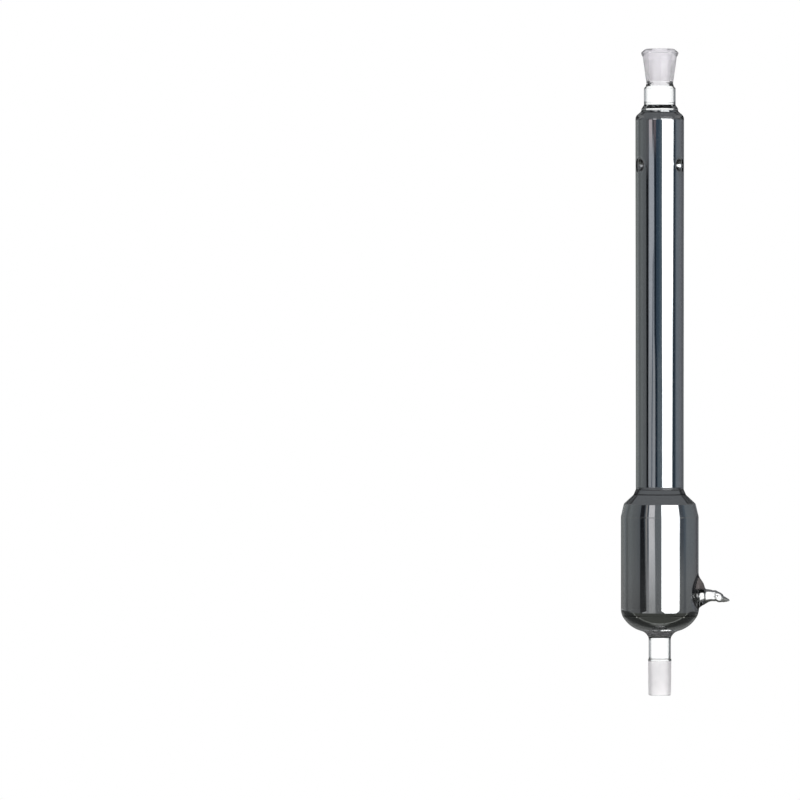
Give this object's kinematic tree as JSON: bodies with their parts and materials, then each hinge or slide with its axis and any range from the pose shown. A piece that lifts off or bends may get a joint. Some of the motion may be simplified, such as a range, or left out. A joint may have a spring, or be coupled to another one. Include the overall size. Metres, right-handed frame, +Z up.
{
  "type": "vacuum-jacketed distillation column",
  "caption": "Silvered, vacuum-jacketed glass column: ground socket on top, slim jacket widening to a bulb, sealed evacuation arm, ground cone at the foot, and a bulbed inner tube.",
  "frame": {"origin": "centre of the lower end of the ground cone, on the column's axis", "axes": "+Z up the column's axis from cone to socket, +X towards the sealed evacuation arm, -Y towards the user"},
  "size_m": [0.1119, 0.08, 0.665],
  "materials": {
    "clear_glass": "gloss",
    "ground_glass": "matte",
    "silver": "polished"
  },
  "bodies": {
    "root": {"top_socket": "ground_glass", "neck_tube": "clear_glass", "top_ring_seal": "clear_glass", "jacket_tube": "clear_glass", "jacket_bulb": "clear_glass", "bottom_ring_seal": "clear_glass", "stem_tube": "clear_glass", "bottom_cone": "ground_glass", "evacuation_arm": "clear_glass", "sealed_tip": "clear_glass", "inner_head_tube": "clear_glass", "allihn_bulb_tube": "clear_glass", "expansion_bellows": "clear_glass", "inner_foot_tube": "clear_glass", "jacket_silvering": "silver", "inner_tube_silvering": "silver"}
  },
  "joints": []
}
